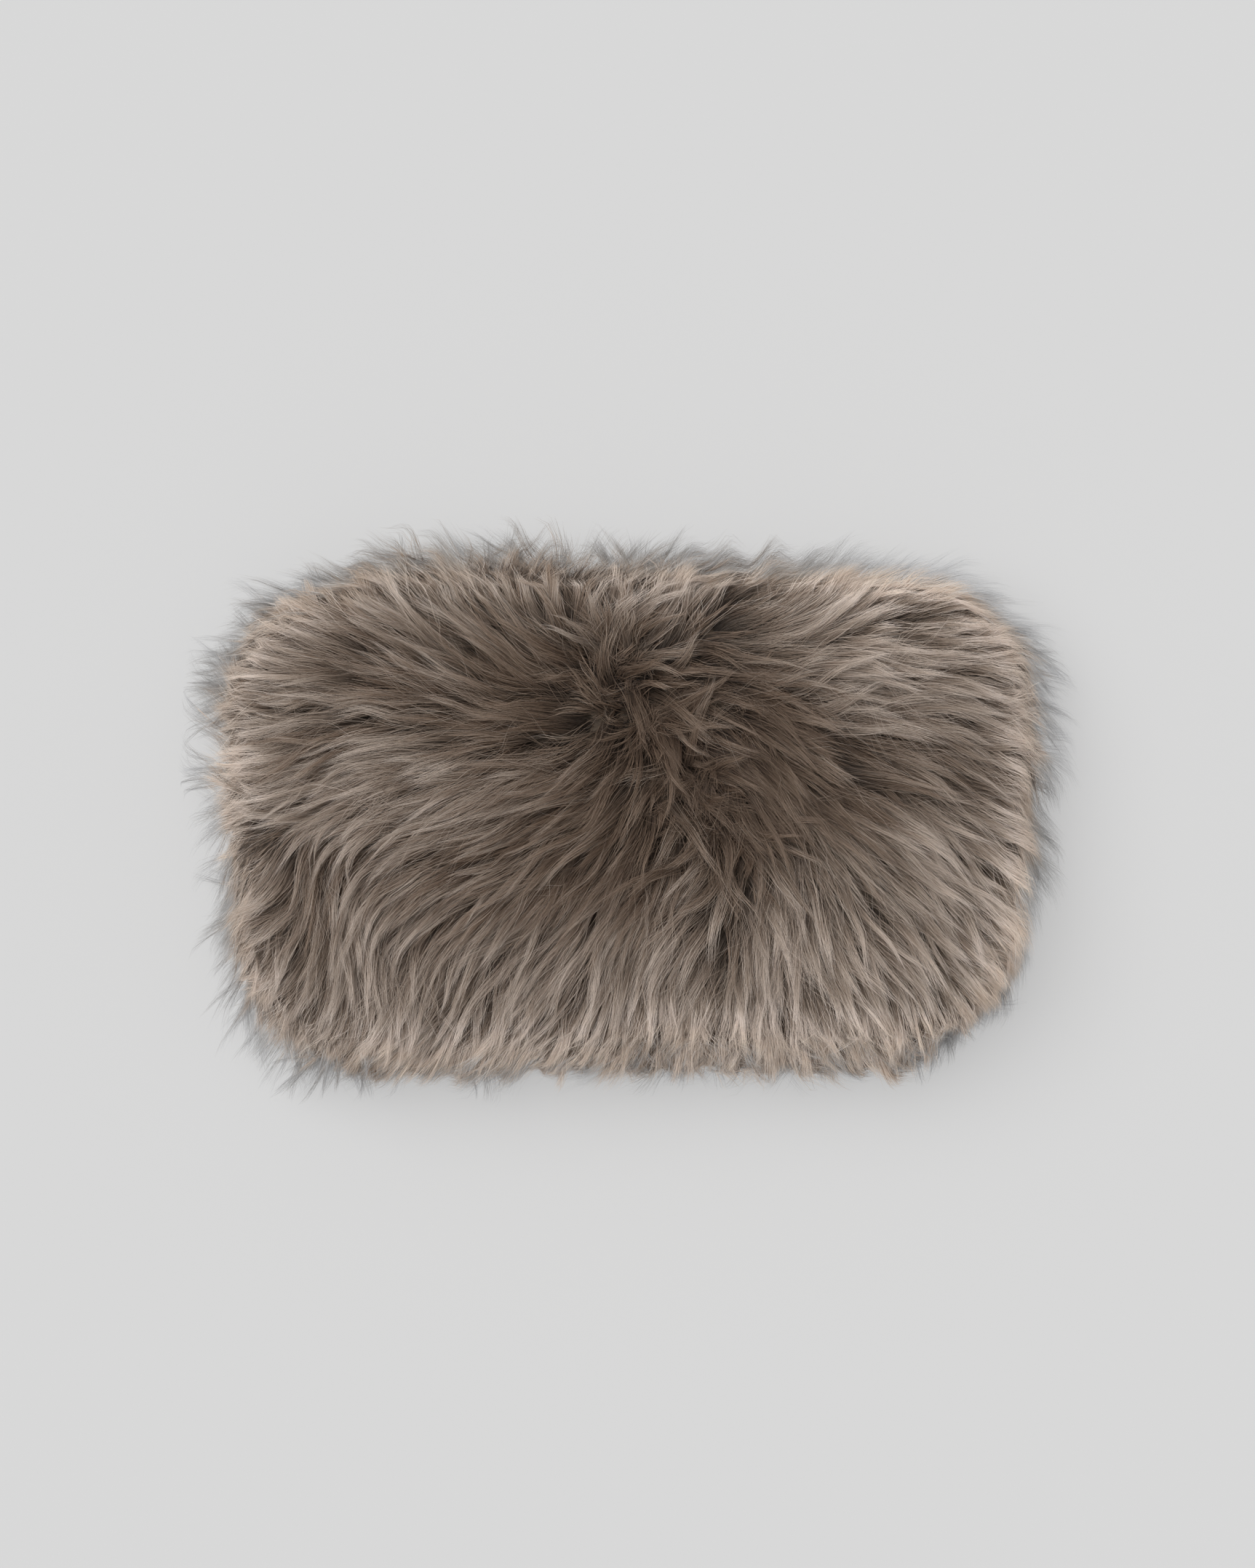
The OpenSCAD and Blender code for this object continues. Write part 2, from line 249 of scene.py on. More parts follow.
COMB = [
    (-240, 115, 172), (-200, 122, 164), (-150, 104, 168), (-140, 140, 134), (-100, 142, 122),
    (-75, 100, 142), (-110, 95, 158), (-55, 148, 98), (-15, 140, 84), (20, 135, 62),
    (60, 145, 46), (120, 124, 16), (130, 145, 28), (190, 115, -4), (95, 88, -12),
    (145, 65, -18), (215, 62, -20), (190, 17, -32), (140, 17, -38), (95, 17, -44),
    (60, 80, -25), (60, 40, -40), (195, -40, -48), (165, -60, -54), (118, -82, -66),
    (80, -60, -76), (75, -110, -84), (125, -125, -75), (35, -60, -132), (46, -90, -122),
    (20, -125, -100), (0, 20, -128), (-25, 30, -148), (-50, -56, -134), (-5, -105, -106),
    (-76, -105, -120), (-100, -22, -158), (-138, -56, -138), (-130, 41, 190), (-158, 10, 202),
    (-205, 12, 200), (-255, 70, 178), (-250, 5, 190), (-250, -80, 216), (-225, -60, 224),
    (-192, -35, -80), (-178, -65, -80), (-162, -98, -92), (-185, -135, -118), (-100, -135, -112),
    (-60, 50, 192), (-35, 72, 168), (15, 62, -60), (5, 100, 60),
]
COMB_AT = np.array([c[:2] for c in COMB]) * MM
COMB_WAY = np.array([(math.cos(a), math.sin(a)) for a in (math.radians(c[2]) for c in COMB)])

# Ruffled spots: x, y, radius in millimetres, how ruffled from 0 to 1
RUFFLED = [(-10, 88, 22, 0.8), (15, 55, 24, 0.6), (38, 18, 30, 0.9), (60, -12, 26, 0.7),
           (85, 55, 26, 0.5), (70, 85, 22, 0.4), (-225, -20, 18, 0.4), (-212, -70, 16, 0.4),
           (-145, 112, 30, 0.4), (-195, 98, 26, 0.35), (-78, 128, 24, 0.4)]
CURLY = RUFFLED[:6]         # those along the parting, with short tousled curls as well

# How far the wool is brushed out past the seam at places round the rim: x, y and reach in
# millimetres
REACH = [
    (265, 35, 27), (262, -20, 24), (255, 85, 23), (248, 118, 23), (208, 145, 18),
    (170, 150, 13), (135, 152, 17), (68, 162, 21), (0, 162, 22), (-76, 168, 25),
    (-112, 162, 26), (-150, 152, 24), (-185, 142, 6), (-222, 132, 12), (-240, 115, 27),
    (-260, 88, 29), (-265, 60, 33), (-255, 8, 31), (-257, -50, 26), (-252, -100, 25),
    (-243, -128, 26), (-220, -155, 34), (-185, -162, 25), (-112, -167, 27), (-40, -163, 24),
    (30, -156, 12), (66, -152, 14), (104, -164, 21), (150, -158, 15), (185, -148, 9),
    (212, -130, 7), (240, -102, 7), (250, -75, 12),
]

# Lighter and darker places in the fleece: x, y in millimetres, tone from -1, dark, to 1.4.
# Partly the fleece's own tone, partly painted light: painted sheen on the pale upper right,
# painted shade in the dark parting and hollows
TONE_AND_PAINTED_LIGHT = [
    (-10, 88, -0.5), (38, 18, -1.0), (20, 55, -0.8), (60, -10, -1.0), (75, 85, -0.5),
    (-60, 60, -0.5), (-30, -10, -0.6), (95, 50, -0.8), (-80, 110, -0.3), (20, 110, 0.0),
    (-140, 60, 0.0), (-130, 10, 0.3), (-180, 90, 0.0), (-225, -20, 0.2), (-212, -70, -0.35),
    (-180, -60, 0.2), (-164, -95, 0.45), (-120, -90, 0.15), (-60, -110, 0.4), (-60, -60, -0.4),
    (10, -110, 0.7), (40, -82, 0.9), (40, -50, -0.1), (62, -92, -0.2), (90, -100, 1.0),
    (140, -80, 0.9), (195, -50, 0.75), (160, -45, 0.1), (140, 0, -0.7), (200, 30, 0.0),
    (150, 70, 0.4), (190, 100, 1.4), (110, 110, 0.3), (66, -135, 0.7), (235, 60, 0.8),
    (200, 65, 0.2), (-240, 60, 0.4), (-230, 110, 0.35), (-220, -120, 0.5), (-245, 10, 0.7),
    (-245, -25, 0.7), (-242, -75, 0.4), (-120, -138, 0.6), (-50, -140, 0.7), (10, -140, 0.4),
    (160, 30, -0.1), (80, -5, -0.9), (-80, 75, -0.6), (-120, 95, -0.2), (0, -52, -0.8),
    (-115, -50, -0.2), (-160, 25, 0.4), (30, 138, 0.5), (-40, 138, 0.2), (-120, 135, 0.4),
    (165, 115, 1.4), (-205, 30, -0.1), (200, -20, 0.6),
]


def spots(plan, table, blur):
    """Blends the last column of a table of places over plan points. The places and the
    blur are in millimetres."""
    table = np.array(table, float)
    gap2 = ((plan[:, None] - table[:, :2] * MM) ** 2).sum(-1)
    w = 1 / (gap2 + (blur * MM) ** 2) ** 2
    return (w * table[:, -1]).sum(1) / w.sum(1)


def comb(plan):
    """Direction that the wool is combed at each plan point, and how firmly, from 0 to 1."""
    gap2 = ((plan[:, None] - COMB_AT) ** 2).sum(-1)
    w = 1 / (gap2 + (12 * MM) ** 2) ** 1.8
    way = (w[..., None] * COMB_WAY).sum(1) / w.sum(1)[:, None]
    firm = smoothstep(np.linalg.norm(way, axis=1), 0.25, 0.85)
    for x, y, r, amount in RUFFLED:
        gap = np.hypot(plan[:, 0] - x * MM, plan[:, 1] - y * MM)
        firm = firm * (1 - amount * (1 - smoothstep(gap, 0.3 * r * MM, r * MM)))
    return unit(way), firm


def past_seam(plan):
    """Nearest point of the seam outline, and distance outside it, for plan points."""
    corner = np.clip(plan, -CORE, CORE)
    away = plan - corner
    gap = np.linalg.norm(away, axis=-1)
    return corner + away * (CORNER / np.maximum(gap, 1e-6))[..., None], gap - CORNER


# ---- Growing wool ----

class Body:
    """The filled cover, as what wool lies on."""

    def __init__(self, objects):
        points, faces = [], []
        for o in objects:
            base = len(points)
            points += [v.co.copy() for v in o.data.vertices]
            faces += [[base + i for i in p.vertices] for p in o.data.polygons]
        self.tree = BVHTree.FromPolygons(points, faces)

    def nearest(self, p):
        """Direction away from the cover, and height above it, for each point."""
        found = [self.tree.find_nearest(q) for q in p]
        at = np.array([f[0] for f in found])
        face = np.array([f[1] for f in found])
        away = p - at
        height = np.linalg.norm(away, axis=1)
        clear = height > 0.8 * MM       # nearer than this the face's own normal is steadier
        normal = np.where(clear[:, None], away / np.maximum(height, 1e-9)[:, None], face)
        flip = clear & (dot(normal, face)[:, 0] < -0.3)
        normal[flip] = face[flip]
        height[flip] *= -1
        return unit(normal), height


def roots(mesh_object, count, keep):
    """Random points over a mesh with their normals, spread by area times keep(place)."""
    mesh = mesh_object.data
    mesh.calc_loop_triangles()
    co = np.empty(len(mesh.vertices) * 3)
    mesh.vertices.foreach_get("co", co)
    co = co.reshape(-1, 3)
    tri = np.empty(len(mesh.loop_triangles) * 3, np.int32)
    mesh.loop_triangles.foreach_get("vertices", tri)
    a, b, c = (co[tri.reshape(-1, 3)[:, i]] for i in range(3))
    normal = np.cross(b - a, c - a)
    area = np.linalg.norm(normal, axis=1) * keep((a + b + c) / 3)
    pick = rng.choice(len(area), count, p=area / area.sum())
    u, v = rng.random((2, count, 1))
    over = u + v > 1
    u, v = np.where(over, 1 - u, u), np.where(over, 1 - v, v)
    at = a[pick] + u * (b[pick] - a[pick]) + v * (c[pick] - a[pick])
    return at, unit(normal[pick])


def grow(at, normal, length, depth, body, steps=20, stiff=0.66, stray=0.25, weight=0.4):
    """Lays one guide fibre from each root: up from the hide, over along the comb
    direction at its own depth in the pile, then down past the rim under its weight."""
    n = len(at)
    p = at + normal * ROOT_LIFT
    path, ups = [p], [normal]
    lean = rng.normal(0, stray, n) + waves(at, 60 * MM, 11) * stray * 1.2
    lean += waves(at, 30 * MM, 12) * 0.24
    own = rng.uniform(0, 2 * math.pi, n)
    own = np.column_stack([np.cos(own), np.sin(own)])
    step = length / steps
    for k in range(1, steps + 1):
        u = k / steps
        up, height = body.nearest(p)
        up[:, 2] = np.maximum(up[:, 2], 0)
        up = unit(up)
        way, firm = comb(p[:, :2])
        if k == 1:
            loose = 1 - firm
        turn = lean * (1 - 0.5 * u)
        c, s = np.cos(turn), np.sin(turn)
        way = np.column_stack([way[:, 0] * c - way[:, 1] * s, way[:, 0] * s + way[:, 1] * c])
        way = unit(way + own * (loose * 1.5)[:, None])
        along = np.column_stack([way, np.full(n, -weight)])
        along = unit(along - up * dot(along, up) * 0.75)
        flare = 1 + 1.5 * (1 - smoothstep(p[:, 2], 0, FLARE_BELOW))
        goal = depth * (1 - (1 - u) ** 1.8) * (1 + 0.1 * loose) * flare
        rise = np.clip((goal - height) / (2.5 * step), -0.7, 0.9)[:, None]
        rise += loose[:, None] * 0.5 * (1 - u)
        aim = unit(along + up * rise)
        if k == 1:
            v = unit(0.75 * normal + 0.65 * along)
        else:
            v = unit(v * stiff + aim * (1 - stiff))
        level = np.clip((LEVEL_FROM - p[:, 2]) / LEVEL_RUN, 0, 1)
        v[:, 2] = np.maximum(v[:, 2], -1 + 1.05 * level)
        v = unit(v)
        p = p + v * step[:, None]
        path.append(p)
        ups.append(up)
    return np.stack(path, 1), np.stack(ups, 1), loose


def frames(path, ups):
    """Along, side and up directions at every point of every path."""
    along = unit(np.gradient(path, axis=1))
    side = unit(np.cross(along, ups))
    return along, side, unit(np.cross(side, along))


def add_waves(path, ups, length, height, pitch):
    """Soft crimp that grows towards the tip."""
    _, side, up = frames(path, ups)
    n, k = path.shape[:2]
    run = np.linspace(0, 1, k)[None, :] * length[:, None]
    phase = rng.uniform(0, 2 * math.pi, (2, n, 1))
    grow_in = smoothstep(np.linspace(0, 1, k), 0, 0.7)[None, :]
    s = np.sin(2 * math.pi * run / pitch[:, None] + phase[0]) * height[:, None] * grow_in
    h = np.sin(2 * math.pi * run / pitch[:, None] * 0.8 + phase[1]) * height[:, None] * grow_in
    return path + side * s[..., None] + up * (0.5 * h)[..., None]


def sample(path, at):
    """Points on each path at fractions at[:, k] of its length."""
    k = path.shape[1] - 1
    t = np.clip(at * k, 0, k - 1e-6)
    i = t.astype(int)
    f = (t - i)[..., None]
    row = np.arange(len(path))[:, None]
    return path[row, i] * (1 - f) + path[row, i + 1] * f


def neighbours(at, count=5, batch=500):
    """Index of one of the closest other roots, picked at random for each root."""
    picked = np.empty(len(at), int)
    for start in range(0, len(at), batch):
        part = at[start:start + batch]
        row = np.arange(len(part))
        gap2 = ((part[:, None] - at[None]) ** 2).sum(-1)
        gap2[row, start + row] = 1
        near = np.argpartition(gap2, count, axis=1)[:, :count]
        picked[start:start + batch] = near[row, rng.integers(0, count, len(part))]
    return picked


def strands(path, ups, length, per_lock, spread, gather, frizz, share, points=8):
    """Fibres of each lock: they start apart, lean towards a neighbouring lock by up to
    share of the way, and gather towards the guide's tip."""
    owner = np.repeat(np.arange(len(path)), per_lock)
    n = len(owner)
    r = np.abs(rng.normal(0, 0.55, n))
    reach = 1 - np.clip(0.3 * r**1.2, 0, 0.45) - 0.2 * rng.random(n) ** 1.5
    r = r * spread[owner]
    u = np.linspace(0, 1, points)[None, :] ** 0.9
    at = u * reach[:, None]
    other = neighbours(path[:, 0])
    lean = (rng.random(n) ** 1.5 * share)[:, None, None]
    shift = path[other] - path[other][:, :1] + path[:, :1]
    centre = sample(path[owner], at) * (1 - lean) + sample(shift[owner], at) * lean
    up = unit(sample(ups[owner], at))
    along, side, up = frames(centre, up)
    a = rng.uniform(0, 2 * math.pi, n)
    across, deep = (r * np.cos(a))[:, None, None], (r * np.sin(a))[:, None, None]
    tight = np.clip(rng.normal(gather, 0.12, len(path)), 0.1, 0.93)[owner]
    keep = (1 - tight[:, None] * smoothstep(u, 0.1, 1.0))[..., None]
    rooted = (1 - smoothstep(u, 0, 0.35))[..., None]
    centre = centre + side * across * keep + up * deep * keep * 0.6 * (1 - rooted)
    centre = centre + along[:, :1] * deep * rooted
    for pitch, part in ((MAIN_WAVE, 1.0), (FINE_WAVE, 0.3)):
        phase = rng.uniform(0, 2 * math.pi, (3, n, 1))
        run = at * length[owner][:, None] / pitch * 2 * math.pi
        f = (frizz * part * smoothstep(u, 0, 0.5))[..., None]
        centre = centre + side * np.sin(run + phase[0])[..., None] * f
        centre = centre + up * np.sin(run * 1.1 + phase[1])[..., None] * f * 0.8
    return centre, up, owner


def brush_out(p, owner, natural, trim, splay):
    """Scales how far the wool stands past the seam to its reach at that place, hangs it
    like a curtain in front of the space that the slider and its pull tab pass through, and
    splays the tips, each lock by its own amount. natural is how far the wool stands out by
    itself, and trim is how far it is kept back from the reach."""
    flat = p.reshape(-1, 3)
    plan, z = flat[:, :2], flat[:, 2]
    run = np.broadcast_to(np.linspace(0, 1, p.shape[1]), p.shape[:2]).reshape(-1)
    own = 0.75 * rng.random(owner.max() + 1)[owner] + 0.25 * rng.random(len(owner))
    own = np.broadcast_to(own[:, None], p.shape[:2]).reshape(-1)
    seam, gap = past_seam(plan)
    by_zip = smoothstep(np.abs(plan[:, 0]), ZIP_HALF + 30 * MM, ZIP_HALF) * (plan[:, 1] < 0)

    lobes = waves(seam, 30 * MM, 33) * 4.5 * MM
    trim = trim * (1 - 0.8 * by_zip)
    reach = np.maximum(spots(plan, REACH, 14) * MM + lobes - trim, 5 * MM)
    gap = np.where(gap > 0, gap * reach / natural, gap)

    ahead = by_zip * smoothstep(z, ZIP_HIGH + 38 * MM, ZIP_HIGH + 2 * MM)
    ahead = np.where(plan[:, 1] < -HALF_D + 12 * MM, ahead, 0) * smoothstep(run, 0.1, 0.5)
    clump = smoothstep(waves(plan * (1, 0.3), 22 * MM, 31) + own - 0.5, -0.7, 0.9)
    hung = ZIP_REACH - HALF_D + (0.5 + clump**2 * 4) * MM + np.maximum(gap, 0) * 0.1
    gap = np.maximum(gap, gap + (hung - gap) * ahead)

    rare = 1.5 + 1.7 * by_zip
    gap = np.where(gap > 0, gap + 1.2 * splay * own**rare * smoothstep(run, 0.5, 1), gap)
    corner = np.clip(plan, -CORE, CORE)
    moved = corner + unit(plan - corner) * (gap + CORNER)[:, None]
    flat[:, :2] = np.where((gap > 0)[:, None], moved, plan)
    return flat.reshape(p.shape)


def clear_of_zip(p):
    """Moves what is left out of the space that the slider and its pull tab pass through."""
    inside = (np.abs(p[..., 0]) < ZIP_HALF) & (p[..., 1] > -ZIP_REACH)
    inside &= p[..., 1] < -HALF_D + WINDOW_DEPTH
    inside &= (p[..., 2] > ZIP_LOW) & (p[..., 2] < ZIP_HIGH)
    lift, push = ZIP_HIGH - p[..., 2], p[..., 1] + ZIP_REACH
    spare = rng.random((len(p), 1)) * 3 * MM
    p[..., 2] = np.where(inside & (lift <= push), ZIP_HIGH + spare * 0.4, p[..., 2])
    p[..., 1] = np.where(inside & (push < lift), -ZIP_REACH - spare, p[..., 1])
    return p


def hold_in(p, high):
    """Presses tips that stray far out back towards the CAD model's high corner, and as far
    towards its mirror image in X and Y."""
    for i in (0, 1):
        at, free = p[..., i], high[i] + PRESS_FROM
        far = np.abs(at) - free
        pressed = np.sign(at) * (free + PRESS_RUN * np.tanh(far / PRESS_RUN))
        p[..., i] = np.where(far > 0, pressed, at)
    p[..., 2] = np.clip(p[..., 2], FLOOR_ROOM, high[2] + TOP_ROOM)
    return p


def ribbons(name, centre, up, width, uv):
    """One mesh of fine V-shaped ribbons, one for each fibre."""
    n, k = centre.shape[:2]
    _, side, up = frames(centre, up)
    turn = rng.uniform(-0.9, 0.9, (n, 1, 1))
    c, s = np.cos(turn), np.sin(turn)
    side, up = side * c + up * s, up * c - side * s
    w = width[..., None] / 2
    points = np.stack([centre - side * w, centre + up * w * 0.7, centre + side * w], 2)
    base = (np.arange(n)[:, None, None] * k + np.arange(k - 1)[None, :, None]) * 3
    base = base + np.arange(2)[None, None, :]
    faces = np.stack([base, base + 1, base + 4, base + 3], -1).reshape(-1)
    mesh = bpy.data.meshes.new(name)
    mesh.vertices.add(n * k * 3)
    mesh.vertices.foreach_set("co", points.astype(np.float32).ravel())
    mesh.loops.add(len(faces))
    mesh.loops.foreach_set("vertex_index", faces.astype(np.int32))
    mesh.polygons.add(len(faces) // 4)
    mesh.polygons.foreach_set("loop_start", np.arange(0, len(faces), 4, dtype=np.int32))
    mesh.update(calc_edges=True)
    mesh.shade_smooth()
    across = (-CHART_SIDE, 0, CHART_SIDE)
    spot = np.stack([uv + np.array([d, 0]) for d in across], 2).reshape(-1, 2)
    layer = mesh.uv_layers.new(name="OFBake")
    layer.uv.foreach_set("vector", spot[faces].astype(np.float32).ravel())
    obj = bpy.data.objects.new(name, mesh)
    bpy.context.scene.collection.objects.link(obj)
    return obj


# ---- Materials ----

def material(name):
    mat = bpy.data.materials.new(name)
    mat.use_nodes = True
    tree = mat.node_tree
    return mat, tree, tree.nodes["Principled BSDF"]


def node(tree, kind, **values):
    """A new node, with each value set on its property or input socket of that name."""
    made = tree.nodes.new(kind)
    for key, value in values.items():
        if hasattr(made, key):
            setattr(made, key, value)
        else:
            made.inputs[key].default_value = value
    return made


def maths(tree, operation, a, b=None, c=None):
    """Output of a maths node on numbers or sockets."""
    made = tree.nodes.new("ShaderNodeMath")
    made.operation = operation
    for socket, value in zip(made.inputs, (a, b, c)):
        if value is None:
            continue
        if isinstance(value, (int, float)):
            socket.default_value = value
        else:
            tree.links.new(value, socket)
    return made.outputs[0]


def ramp(tree, factor, stops):
    made = tree.nodes.new("ShaderNodeValToRGB")
    elements = made.color_ramp.elements
    while len(elements) < len(stops):
        elements.new(0.5)
    for element, (at, colour) in zip(elements, stops):
        element.position = at
        element.color = (*colour, 1)
    tree.links.new(factor, made.inputs["Fac"])
    return made.outputs["Color"]


def mix(tree, factor, a, b, blend="MIX", clamp_result=False):
    """Output of a colour mix of numbers, colours or sockets."""
    made = tree.nodes.new("ShaderNodeMix")
    made.data_type = "RGBA"
    made.blend_type = blend
    made.clamp_result = clamp_result
    sockets = [s for s in made.inputs if s.enabled]
    for socket, value in zip(sockets, (factor, a, b)):
        if isinstance(value, (int, float)):
            socket.default_value = value
        elif isinstance(value, tuple):
            socket.default_value = (*value, 1)
        else:
            tree.links.new(value, socket)
    return next(s for s in made.outputs if s.enabled)


def multiply(tree, a, b, clamp_result=False):
    return mix(tree, 1.0, a, b, "MULTIPLY", clamp_result)


def object_place(tree, scale=(1, 1, 1)):
    coords = tree.nodes.new("ShaderNodeTexCoord")
    mapping = node(tree, "ShaderNodeMapping", Scale=scale)
    tree.links.new(coords.outputs["Object"], mapping.inputs["Vector"])
    return mapping.outputs[0]


def cloth_place(tree, scale):
    place = node(tree, "ShaderNodeUVMap", uv_map="cloth")
    mapping = node(tree, "ShaderNodeMapping", Scale=scale)
    tree.links.new(place.outputs[0], mapping.inputs["Vector"])
    return mapping.outputs[0]


def noise(tree, place, scale, detail=4.0, roughness=0.5):
    made = node(tree, "ShaderNodeTexNoise", Scale=scale, Detail=detail, Roughness=roughness)
    tree.links.new(place, made.inputs["Vector"])
    return made.outputs["Fac"]


def axes(tree, place):
    split = tree.nodes.new("ShaderNodeSeparateXYZ")
    tree.links.new(place, split.inputs[0])
    return split.outputs


def bump(tree, shader, height, distance, strength=0.8):
    made = node(tree, "ShaderNodeBump", Strength=strength, Distance=distance)
    tree.links.new(height, made.inputs["Height"])
    tree.links.new(made.outputs[0], shader.inputs["Normal"])


def roughen(tree, shader, factor, low, high):
    made = node(tree, "ShaderNodeMapRange")
    made.inputs["To Min"].default_value = low
    made.inputs["To Max"].default_value = high
    tree.links.new(factor, made.inputs["Value"])
    tree.links.new(made.outputs[0], shader.inputs["Roughness"])


def weave(tree, a, b):
    """Plain weave of threads one unit wide along two coordinates: height of the cloth, and
    a share that is 1 where a thread of the first set is on top."""
    sin_a = maths(tree, "SINE", maths(tree, "MULTIPLY", a, math.pi))
    sin_b = maths(tree, "SINE", maths(tree, "MULTIPLY", b, math.pi))
    over = maths(tree, "MULTIPLY_ADD", maths(tree, "MULTIPLY", sin_a, sin_b), 1.5, 0.5)
    first = maths(tree, "MINIMUM", maths(tree, "MAXIMUM", over, 0.0), 1.0)
    second = maths(tree, "SUBTRACT", 1.0, first)
    height = maths(tree, "ADD",
                   maths(tree, "MULTIPLY", maths(tree, "ABSOLUTE", sin_a), first),
                   maths(tree, "MULTIPLY", maths(tree, "ABSOLUTE", sin_b), second))
    return height, first


def wool_material():
    """The wool's chart. Across it the tone of the lock goes from dark to pale. Along it the
    colour goes from dark root to pale tip, then through the tan of the rim's ends to grey.
    The near-black root is partly painted shade deep in the pile; the rim's tan is partly
    painted sheen and its grey partly painted shade."""
    mat, tree, shader = material("wool")
    place = node(tree, "ShaderNodeUVMap", uv_map="OFBake")
    x, y = axes(tree, place.outputs[0])[:2]
    # Root to tip, then the rim's ends: the near-black root stops are partly painted shade, the
    # tan partly painted sheen and the grey partly painted shade
    along = ramp(tree, y, [
        (0.0, (0.02, 0.014, 0.01)), (0.12, (0.075, 0.054, 0.039)), (0.27, (0.2, 0.15, 0.114)),
        (0.42, (0.37, 0.305, 0.253)), (0.5, (0.46, 0.393, 0.343)), (0.7, (0.51, 0.42, 0.345)),
        (0.84, (0.43, 0.405, 0.38)), (1.0, (0.3, 0.3, 0.302))])
    across = ramp(tree, x, [
        (0.0, (0.34, 0.25, 0.185)), (0.35, (0.82, 0.71, 0.615)), (0.6, (1.3, 1.29, 1.28)),
        (0.85, (1.85, 1.88, 1.93)), (1.0, (2.15, 2.2, 2.26))])
    colour = multiply(tree, along, across, clamp_result=True)
    tree.links.new(colour, shader.inputs["Base Color"])
    shader.inputs["Roughness"].default_value = 0.52
    shader.inputs["Specular IOR Level"].default_value = 0.42
    shader.inputs["Sheen Weight"].default_value = 0.25
    shader.inputs["Sheen Roughness"].default_value = 0.4
    return mat


def hide_shade_material():
    """Tanned skin between the roots of the wool: pebbled grain, pores and stains over a dark
    brown that is painted shade deep among the roots.
    """
    mat, tree, shader = material("hide")
    place = object_place(tree)
    grain = noise(tree, place, 420.0, 6.0, 0.6)
    stain = noise(tree, place, 22.0, 3.0)
    # Dark brown in place of the skin's paler tan: painted shade among the roots
    colour = ramp(tree, grain, [(0.35, (0.085, 0.06, 0.042)), (0.65, (0.16, 0.118, 0.082))])
    blotch = ramp(tree, stain, [(0.35, (0.78, 0.74, 0.7)), (0.65, (1.0, 1.0, 1.0))])
    tree.links.new(multiply(tree, colour, blotch), shader.inputs["Base Color"])
    roughen(tree, shader, grain, 0.62, 0.86)
    bump(tree, shader, grain, 0.5 * MM)
    return mat


def back_material():
    """Heavy plain-woven cotton with uneven threads and a slight nap."""
    mat, tree, shader = material("back_cloth")
    thread = 1.5 * MM
    place = cloth_place(tree, (1 / thread, 1 / thread, 1))
    a, b = axes(tree, place)[:2]
    height, first = weave(tree, a, b)
    warp = noise(tree, cloth_place(tree, (650, 26, 1)), 1.0, 3.0)
    weft = noise(tree, cloth_place(tree, (26, 650, 1)), 1.0, 3.0)
    slub = mix(tree, first, weft, warp)
    colour = ramp(tree, slub, [(0.25, (0.13, 0.102, 0.08)), (0.5, (0.235, 0.19, 0.152)),
                               (0.75, (0.35, 0.295, 0.24))])
    # Darker in the low points of the weave, between the threads: painted shade
    weave_shade = ramp(tree, height, [(0.1, (0.45, 0.42, 0.4)), (0.7, (1.0, 1.0, 1.0))])
    worn = ramp(tree, noise(tree, object_place(tree), 14.0, 3.0),
                [(0.35, (0.86, 0.85, 0.84)), (0.7, (1.08, 1.08, 1.08))])
    colour = multiply(tree, multiply(tree, colour, weave_shade), worn)
    tree.links.new(colour, shader.inputs["Base Color"])
    roughen(tree, shader, height, 0.95, 0.78)
    bump(tree, shader, maths(tree, "MULTIPLY_ADD", slub, 0.35, height), 0.4 * MM)
    shader.inputs["Sheen Weight"].default_value = 0.2
    shader.inputs["Specular IOR Level"].default_value = 0.25
    return mat


def thread_material():
    """Two-ply sewing thread: twisted plies, fine fuzz and a slight change of shade."""
    mat, tree, shader = material("thread")
    place = object_place(tree)
    twist = node(tree, "ShaderNodeTexWave", Scale=360.0, Distortion=1.0, Detail=1.0)
    twist.bands_direction = "DIAGONAL"
    tree.links.new(place, twist.inputs["Vector"])
    shade = noise(tree, place, 90.0)
    # Darker in the grooves between the twisted plies: painted shade
    ply = ramp(tree, twist.outputs["Fac"], [(0.1, (0.1, 0.078, 0.06)),
                                            (0.6, (0.27, 0.22, 0.175))])
    vary = ramp(tree, shade, [(0.35, (0.82, 0.82, 0.82)), (0.65, (1.0, 1.0, 1.0))])
    tree.links.new(multiply(tree, ply, vary), shader.inputs["Base Color"])
    roughen(tree, shader, twist.outputs["Fac"], 0.72, 0.5)
    bump(tree, shader, twist.outputs["Fac"], 0.15 * MM)
    return mat


def label_material():
    """Blank satin ribbon: fine ribs across it and a soft shine."""
    mat, tree, shader = material("label")
    rib = node(tree, "ShaderNodeTexWave", Scale=430.0, Distortion=0.4, Detail=1.0)
    rib.bands_direction = "Z"
    tree.links.new(object_place(tree), rib.inputs["Vector"])
    fibre = noise(tree, object_place(tree, (160, 160, 2400)), 1.0, 3.0)
    colour = ramp(tree, fibre, [(0.3, (0.68, 0.66, 0.61)), (0.7, (0.82, 0.8, 0.76))])
    tree.links.new(colour, shader.inputs["Base Color"])
    roughen(tree, shader, fibre, 0.3, 0.48)
    bump(tree, shader, rib.outputs["Fac"], 0.08 * MM)
    return mat


